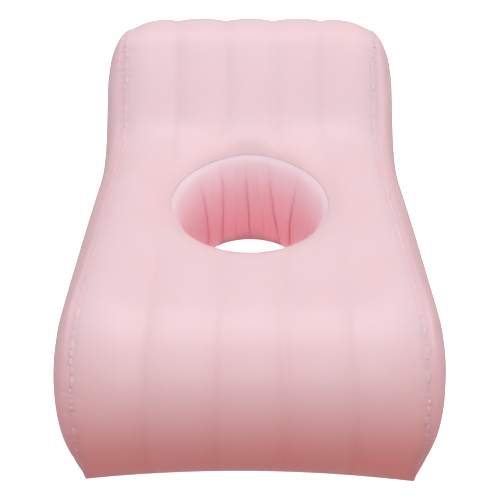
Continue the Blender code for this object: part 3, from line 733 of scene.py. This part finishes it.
def seam_band(name, side, seed):
    """The crimped weld down a side seam, over the edges of both sheets."""
    rng = np.random.default_rng(seed)
    depsgraph = bpy.context.evaluated_depsgraph_get()
    top_tree = BVHTree.FromObject(top, depsgraph)
    side_tree = BVHTree.FromObject(side_skins[0 if side > 0 else 1], depsgraph)
    s = np.arange(BAND_GAP, S_END - BAND_GAP, BAND_STEP)
    nh, nz = profile(s)[2:4]
    offsets = [-a for a in reversed(BAND_SIDE)] + [0] + BAND_SIDE
    # Short lobes of film, of uneven length and height, pinched off from one another. They are more
    # than the seam can hold, so that they reach its end.
    ends = np.cumsum(rng.uniform(*BAND_LOBES, int(S_END / 0.0125)))
    tall = rng.uniform(0.25, 1.0, len(ends) + 1)
    shift = rng.uniform(-BAND_SHIFT, BAND_SHIFT, len(ends) + 1)
    lobe = np.searchsorted(ends, s)
    ends = np.concatenate([[0], ends])
    share = (s - ends[lobe]) / (ends[lobe + 1] - ends[lobe])
    rise = np.sqrt(np.clip(1 - np.abs(2 * share - 1) ** 2.2, 0, 1))
    crimp = tall[lobe] * rise
    middle_at = shift[lobe] * rise
    strength = pull_at(s)
    seam = seam_points(s, side)
    rows = []
    for a in offsets:
        if a <= 0:
            guess = strip_at(np.full_like(s, side * (WIDTH / 2 + a)), s)
            tree = top_tree
        else:
            guess = seam + np.stack([np.full_like(s, side * 0.6 * a), -nh * a, -nz * a], axis=1)
            tree = side_tree
        found = [tree.find_nearest(Vector(p)) for p in guess]
        place = np.array([f[0] for f in found])
        normal = np.array([f[1] for f in found])
        rows.append((a, place, normal))
    middle = len(offsets) // 2
    corner = rows[middle - 2][2] + rows[middle + 2][2]
    corner /= np.linalg.norm(corner, axis=1)[:, None]
    made = []
    for a, place, normal in rows:
        if abs(a) < 0.0012:
            normal = corner
        body = np.exp(-(((a - middle_at) / BAND_HALF) ** 2))
        edge = np.clip((abs(a) - 0.009) / 0.003, 0, 1)
        dip = math.exp(-((a / 0.0075) ** 2))
        lift = strength * (BAND_TALL * body * crimp - BAND_DIP * dip)
        lift = 0.0003 + lift - BAND_TUCK * edge
        made.append(place + normal * lift[:, None])
    co = np.stack(made, axis=1).reshape(-1, 3)
    faces = grid_faces(len(s), len(offsets))
    if side < 0:
        faces = faces[:, ::-1]
    band, _ = mesh_from(name, co, faces)
    return band


bands = [seam_band("left_seam", 1, 41), seam_band("right_seam", -1, 43)]


# Across the weld round the hole: how far out from the rim, and how high.
RIM_SECTION = [(0.0022, -0.0006), (0.0016, 0.0001), (0.0006, 0.0006)]
RIM_SECTION += [(-0.0004, 0.0006), (-0.0012, 0.0), (-0.0017, -0.0012)]


def rim_bead(name, seed):
    """The weld round the hole: a thin crinkled ridge where strip and lining meet."""
    rng = np.random.default_rng(seed)
    turns = np.linspace(0, 2 * math.pi, 901)[:-1]
    ring = RIM_R * turns
    whole = 2 * math.pi * RIM_R
    fade = np.clip(np.minimum(ring, whole - ring) / 0.02, 0, 1)
    rise = (wander(rng, whole, 0.008)(ring) * 0.6 + wander(rng, whole, 0.02)(ring) * 0.4) * fade
    base_z = strip_at(RIM_R * np.cos(turns), S_HOLE + RIM_R * np.sin(turns))[:, 2]
    rows = []
    for out, up in RIM_SECTION:
        radius = RIM_R + out + 0.0004 * rise
        x, y = radius * np.cos(turns), HOLE_Y + radius * np.sin(turns)
        rows.append(np.stack([x, y, base_z + up * (1 + 0.6 * rise)], axis=1))
    co = np.stack(rows, axis=1).reshape(-1, 3)
    columns = len(RIM_SECTION)
    i, j = np.meshgrid(np.arange(len(turns)), np.arange(columns - 1), indexing="ij")
    a = i * columns + j
    b = (i + 1) % len(turns) * columns + j
    faces = np.stack([a, a + 1, b + 1, b], axis=-1).reshape(-1, 4)
    made, _ = mesh_from(name, co, faces)
    return made


rim = rim_bead("rim_weld", 47)

# ---- materials ----------------------------------------------------------------------------------


def nodes_of(name):
    """A new material, its node tree and its shader."""
    made = bpy.data.materials.new(name)
    made.use_nodes = True
    tree = made.node_tree
    return made, tree, tree.nodes["Principled BSDF"]


def dial(node, **values):
    """Sets a node's inputs by their names, with an underscore for each space."""
    for key, value in values.items():
        node.inputs[key.replace("_", " ")].default_value = value


def add(tree, kind, links=(), **values):
    """A new node, with its own settings and inputs from values, and links into the named inputs."""
    node = tree.nodes.new(kind)
    for key, value in values.items():
        if hasattr(node, key):
            setattr(node, key, value)
        else:
            dial(node, **{key: value})
    for key, source in links:
        tree.links.new(source, node.inputs[key])
    return node


def pvc(name, light, shaded_colour, roughness=0.33):
    """Satin PVC film: paler up high and deeper pink near the floor, which is painted shade; a little
    cloudy, with calender grain.
    """
    made, tree, shader = nodes_of(name)
    place = add(tree, "ShaderNodeTexCoord").outputs["Object"]
    cloud = add(tree, "ShaderNodeTexNoise", [("Vector", place)], Scale=7.0, Detail=3.0, Roughness=0.5)
    height = add(tree, "ShaderNodeSeparateXYZ", [("Vector", place)]).outputs["Z"]
    # painted shade: the base colour deepens towards the floor, by height in the object's frame
    shade_by_height = add(tree, "ShaderNodeMapRange", [("Value", height)], interpolation_type="SMOOTHSTEP")
    dial(shade_by_height, From_Min=SHADE_FULL_Z, From_Max=SHADE_NONE_Z, To_Min=0.92, To_Max=0.0)
    share = add(tree, "ShaderNodeMath", operation="MULTIPLY_ADD")
    tree.links.new(cloud.outputs["Fac"], share.inputs[0])
    share.inputs[1].default_value = 0.12
    tree.links.new(shade_by_height.outputs["Result"], share.inputs[2])
    mix = add(tree, "ShaderNodeMix", data_type="RGBA")
    mix.inputs[6].default_value = (*light, 1)
    mix.inputs[7].default_value = (*shaded_colour, 1)
    tree.links.new(share.outputs["Value"], mix.inputs[0])
    tree.links.new(mix.outputs[2], shader.inputs["Base Color"])
    patch = add(tree, "ShaderNodeTexNoise", [("Vector", place)], Scale=38.0, Detail=4.0)
    rough = add(tree, "ShaderNodeMapRange", [("Value", patch.outputs["Fac"])])
    dial(rough, To_Min=roughness - 0.05, To_Max=roughness + 0.06)
    tree.links.new(rough.outputs["Result"], shader.inputs["Roughness"])
    grain = add(tree, "ShaderNodeTexNoise", [("Vector", place)], Scale=1400.0, Detail=2.0)
    ripple = add(tree, "ShaderNodeTexNoise", [("Vector", place)], Scale=55.0, Detail=2.0)
    fine = add(tree, "ShaderNodeBump", [("Height", grain.outputs["Fac"])], Strength=0.06, Distance=0.0002)
    wide = add(
        tree,
        "ShaderNodeBump",
        [("Height", ripple.outputs["Fac"]), ("Normal", fine.outputs["Normal"])],
        Strength=0.10,
        Distance=0.001,
    )
    tree.links.new(wide.outputs["Normal"], shader.inputs["Normal"])
    dial(shader, Subsurface_Weight=0.25, Subsurface_Radius=(0.030, 0.010, 0.008), Subsurface_Scale=1.0)
    dial(shader, Specular_IOR_Level=0.5, Sheen_Weight=0.02, Sheen_Roughness=0.5)
    return made


def plastic(name, colour, roughness, scale=900.0):
    """Moulded plastic with a fine spark-eroded grain and slight mottling."""
    made, tree, shader = nodes_of(name)
    place = add(tree, "ShaderNodeTexCoord").outputs["Object"]
    cloud = add(tree, "ShaderNodeTexNoise", [("Vector", place)], Scale=120.0, Detail=3.0)
    mix = add(tree, "ShaderNodeMix", data_type="RGBA")
    mix.inputs[6].default_value = (*colour, 1)
    mix.inputs[7].default_value = (*[c * 0.9 for c in colour], 1)
    tree.links.new(cloud.outputs["Fac"], mix.inputs[0])
    tree.links.new(mix.outputs[2], shader.inputs["Base Color"])
    grain = add(tree, "ShaderNodeTexNoise", [("Vector", place)], Scale=scale, Detail=2.0)
    rough = add(tree, "ShaderNodeMapRange", [("Value", grain.outputs["Fac"])])
    dial(rough, To_Min=roughness - 0.06, To_Max=roughness + 0.06)
    tree.links.new(rough.outputs["Result"], shader.inputs["Roughness"])
    bump = add(tree, "ShaderNodeBump", [("Height", grain.outputs["Fac"])], Strength=0.08, Distance=0.0002)
    tree.links.new(bump.outputs["Normal"], shader.inputs["Normal"])
    dial(shader, Subsurface_Weight=0.1, Subsurface_Radius=(0.002, 0.002, 0.002))
    return made


SHADE_FULL_Z, SHADE_NONE_Z = 0.03, 0.31  # heights where the painted shade near the floor is full, and where it has faded out to the pale pink
# Each film's second colour is painted shade, laid on near the floor and at the bottom of the hole.
PINK = pvc("satin_pink_pvc", (0.80, 0.62, 0.665), (0.90, 0.24, 0.23))
# painted shade: the sides, back and welds get a more saturated copy of the pink film, for how light falls
# on them, with a milder painted shade near the floor
SHADED_SIDE_PINK = pvc("satin_pink_side", (0.83, 0.575, 0.63), (0.84, 0.28, 0.30))
# painted light: the lining is a paler copy of the pink film, standing in for light shining through it;
# its second colour is painted shade at the bottom of the hole
LIT_LINING_PINK = pvc("satin_pink_lining", (0.94, 0.84, 0.89), (0.92, 0.33, 0.41))
WEB = pvc("web_pvc_film", (0.76, 0.58, 0.61), (0.76, 0.40, 0.42), roughness=0.5)
WHITE = plastic("valve_white_plastic", (0.82, 0.80, 0.80), 0.38)
SOFT = plastic("flap_silicone_rubber", (0.72, 0.72, 0.73), 0.5, scale=500.0)

# ---- which CAD node each skin stands for ---------------------------------------------------------


def split_rear(obj):
    """Parts the upright back off the top strip, along the row where the CAD has their weld."""
    rear = obj.copy()
    rear.data = obj.data.copy()
    rear.name = "rear_skin"
    bpy.context.scene.collection.objects.link(rear)
    along = read_field(obj, "s")
    split = np.unique(np.round(along, 6))
    split = split[np.argmin(np.abs(split - S_REAR))]
    without(obj, along > split + 1e-5)
    without(rear, along < split - 1e-5)
    return rear


def tidy_mesh(obj, look):
    """Drops the fields and loose points, and gives the mesh its material."""
    for name in ("x", "s", "away"):
        if name in obj.data.attributes:
            obj.data.attributes.remove(obj.data.attributes[name])
    bm = bmesh.new()
    bm.from_mesh(obj.data)
    loose = [v for v in bm.verts if not v.link_faces]
    bmesh.ops.delete(bm, geom=loose, context="VERTS")
    bm.to_mesh(obj.data)
    bm.free()
    obj.data.materials.clear()
    obj.data.materials.append(look)
    obj.data.shade_smooth()


rear = split_rear(top)
skins = [
    (top, "top_strip", PINK),
    (rear, "rear_panel", SHADED_SIDE_PINK),
    (side_skins[0], "left_side_panel", SHADED_SIDE_PINK),
    (side_skins[1], "right_side_panel", SHADED_SIDE_PINK),
    (lining, "hole_sleeve", LIT_LINING_PINK),
    (base, "floor_panel", PINK),
]
for obj, node, look in skins:
    tidy_mesh(obj, look)
    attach(obj, "chamber")
    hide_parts(node)
for obj in (*bands, rim):
    tidy_mesh(obj, SHADED_SIDE_PINK)
    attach(obj, "chamber")

LOOKS = {"web_pvc": WEB, "valve_white": WHITE, "flap_silicone": SOFT}
for subpart in frame["record"]["subparts"]:
    if subpart["material_slot"] in LOOKS:
        data = frame["nodes"][subpart["node"]].data
        data.materials.clear()
        data.materials.append(LOOKS[subpart["material_slot"]])

# ---- the plug's tether ---------------------------------------------------------------------------

# Places as seen from behind, right and up from the valve's axis: the flange's button, the plug's lip
# and the lowest point of the loop.
ANCHOR, STRAP_START, LOOP_LOW = (0.0105, -0.0215), (-0.0045, -0.0188), -0.0400
STRAP_HALF, STRAP_THICK, STRAP_RISE = 0.0024, 0.0011, 0.0041
EYE_GAP = 0.0032  # the strap runs into the eye at this distance from the button's axis
# Across the strap, in half widths and half thicknesses.
STRAP_SECTION = [(-1, -0.5), (-1, 0.5), (-0.86, 1), (-0.3, 1.0), (0.3, 1.0)]
STRAP_SECTION += [(0.86, 1), (1, 0.5), (1, -0.5), (0.86, -1), (-0.86, -1)]
# Across the eye, as a radius and a height in half thicknesses.
EYE_SECTION = [(0.0019, -1), (0.0019, 1), (0.0024, 1.3), (0.0036, 1.3)]
EYE_SECTION += [(0.0041, 0.9), (0.0041, -0.9), (0.0036, -1)]


def valve_place(x, y, out):
    """A place in the part's frame, from one seen from behind the valve and its height off the film."""
    return (VALVE[0] - x, VALVE_SKIN_Y + out, VALVE[1] + y)


def join_rings(bm, pairs):
    """Quads between both rings of each pair."""
    for a, b in pairs:
        for i in range(len(a)):
            j = (i + 1) % len(a)
            bm.faces.new((a[i], a[j], b[j], b[i]))


def tether():
    """A moulded strap from the plug's lip, down in a loop, to an eye over the flange's button."""
    half = (ANCHOR[0] - STRAP_START[0]) / 2
    middle = ((ANCHOR[0] + STRAP_START[0]) / 2, LOOP_LOW + half)
    line = [(STRAP_START[0], y) for y in np.linspace(STRAP_START[1], middle[1], 10)]
    for turn in np.linspace(math.pi, 2 * math.pi, 25)[1:]:
        line.append((middle[0] + half * math.cos(turn), middle[1] + half * math.sin(turn)))
    line += [(ANCHOR[0], y) for y in np.linspace(middle[1], ANCHOR[1] - EYE_GAP, 6)[1:]]
    line = np.array(line)
    along = np.gradient(line, axis=0)
    along /= np.linalg.norm(along, axis=1)[:, None]
    across = np.stack([-along[:, 1], along[:, 0]], axis=1)
    t = STRAP_THICK / 2
    bm = bmesh.new()
    rings = []
    for place, side in zip(line, across):
        ring = []
        for u, v in STRAP_SECTION:
            at = place + side * u * STRAP_HALF
            ring.append(bm.verts.new(valve_place(at[0], at[1], STRAP_RISE + v * t)))
        rings.append(ring)
    join_rings(bm, zip(rings, rings[1:]))
    bm.faces.new(rings[0][::-1])
    bm.faces.new(rings[-1])
    turns = np.linspace(0, 2 * math.pi, 33)[:-1]
    loops = []
    for turn in turns:
        ring = []
        for radius, v in EYE_SECTION:
            at = (ANCHOR[0] + radius * math.cos(turn), ANCHOR[1] + radius * math.sin(turn))
            ring.append(bm.verts.new(valve_place(*at, STRAP_RISE + v * t)))
        loops.append(ring)
    join_rings(bm, zip(loops, loops[1:] + loops[:1]))
    bmesh.ops.recalc_face_normals(bm, faces=bm.faces)
    data = bpy.data.meshes.new("tether_strap")
    bm.to_mesh(data)
    bm.free()
    data.shade_smooth()
    data.set_sharp_from_angle(angle=math.radians(50))
    data.materials.append(WHITE)
    made = bpy.data.objects.new("tether_strap", data)
    bpy.context.scene.collection.objects.link(made)
    return made


strap = tether()
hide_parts("plug_tether")
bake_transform(strap)

# ---- floor, light and camera ----------------------------------------------------------------------


def studio_piece(name, look_name, bm, grey, roughness, glow):
    """A white surface with a glow of its own. It neither lights nor shades the part."""
    look, _, shader = nodes_of(look_name)
    dial(shader, Base_Color=(grey, grey, grey, 1), Roughness=roughness)
    dial(shader, Emission_Color=(1, 1, 1, 1), Emission_Strength=glow)
    data = bpy.data.meshes.new(name)
    bm.to_mesh(data)
    bm.free()
    data.materials.append(look)
    piece = bpy.data.objects.new(name, data)
    bpy.context.scene.collection.objects.link(piece)
    piece.visible_diffuse = piece.visible_glossy = piece.visible_shadow = False
    return piece


def studio_floor():
    """A white floor, a hair below the part so that they don't touch."""
    bm = bmesh.new()
    bmesh.ops.create_grid(bm, x_segments=1, y_segments=1, size=30)
    piece = studio_piece("studio_floor", "white_floor", bm, grey=0.9, roughness=0.9, glow=0.9)
    piece.location = (0, 0, -0.0008)


def studio_dome():
    """A white dome far behind everything, which only the camera sees."""
    bm = bmesh.new()
    bmesh.ops.create_icosphere(bm, subdivisions=3, radius=25)
    piece = studio_piece("studio_dome", "white_dome", bm, grey=1.0, roughness=0.5, glow=1.2)
    piece.visible_transmission = piece.visible_volume_scatter = False


def studio_world(top, low):
    """A soft dome: brightest overhead, dim towards and below the horizon."""
    world = bpy.data.worlds.new("studio")
    bpy.context.scene.world = world
    world.use_nodes = True
    tree = world.node_tree
    place = add(tree, "ShaderNodeTexCoord").outputs["Generated"]
    split = add(tree, "ShaderNodeSeparateXYZ", [("Vector", place)])
    ramp = add(tree, "ShaderNodeMapRange", [("Value", split.outputs["Z"])])
    ramp.interpolation_type = "SMOOTHSTEP"
    dial(ramp, From_Min=-0.3, From_Max=0.9, To_Min=low, To_Max=top)
    background = tree.nodes["Background"]
    dial(background, Color=(1, 1, 1, 1))
    tree.links.new(ramp.outputs["Result"], background.inputs["Strength"])


def softbox(name, place, aim, size, power):
    """A rectangular area light, which the camera doesn't see."""
    data = bpy.data.lights.new(name, "AREA")
    data.shape = "RECTANGLE"
    data.size, data.size_y = size
    data.energy = power
    light = bpy.data.objects.new(name, data)
    light.location = place
    light.rotation_euler = (Vector(aim) - Vector(place)).to_track_quat("-Z", "Y").to_euler()
    light.visible_camera = False
    bpy.context.scene.collection.objects.link(light)


studio_floor()
studio_dome()
studio_world(top=0.64, low=0.42)
LIGHTS = [  # name, place, aim, size, watts
    ("overhead", (0, 0.1, 2.6), (0, 0, 0.2), (2.4, 2.0), 25),
    ("front_top", (0, -2.0, 2.2), (0, -0.1, 0.2), (1.8, 1.2), 8),
    ("right", (2.3, 0.3, 1.1), (0, 0.1, 0.25), (1.4, 1.0), 6),
    ("left", (-2.3, 0.9, 1.1), (0, 0.3, 0.25), (1.4, 1.0), 3),
    ("floor_bounce", (0, HOLE_Y, 0.004), (0, HOLE_Y, 1), (0.25, 0.25), 0.10),
]
for light in LIGHTS:
    softbox(*light)

CAMERA_BACK, CAMERA_Z = 0.536, 1.093  # in front of the floor seam, and over the floor
CAMERA_TILT = 43  # degrees down from level
camera_data = bpy.data.cameras.new("camera")
camera_data.lens = 43.2
camera_data.sensor_width = 36
camera = bpy.data.objects.new("camera", camera_data)
camera.location = (0.0005, FRONT_Y - CAMERA_BACK, CAMERA_Z)
camera.rotation_euler = (math.radians(90 - CAMERA_TILT), 0, 0)
bpy.context.scene.collection.objects.link(camera)
bpy.context.scene.camera = camera
bpy.context.scene.view_settings.view_transform = "Standard"
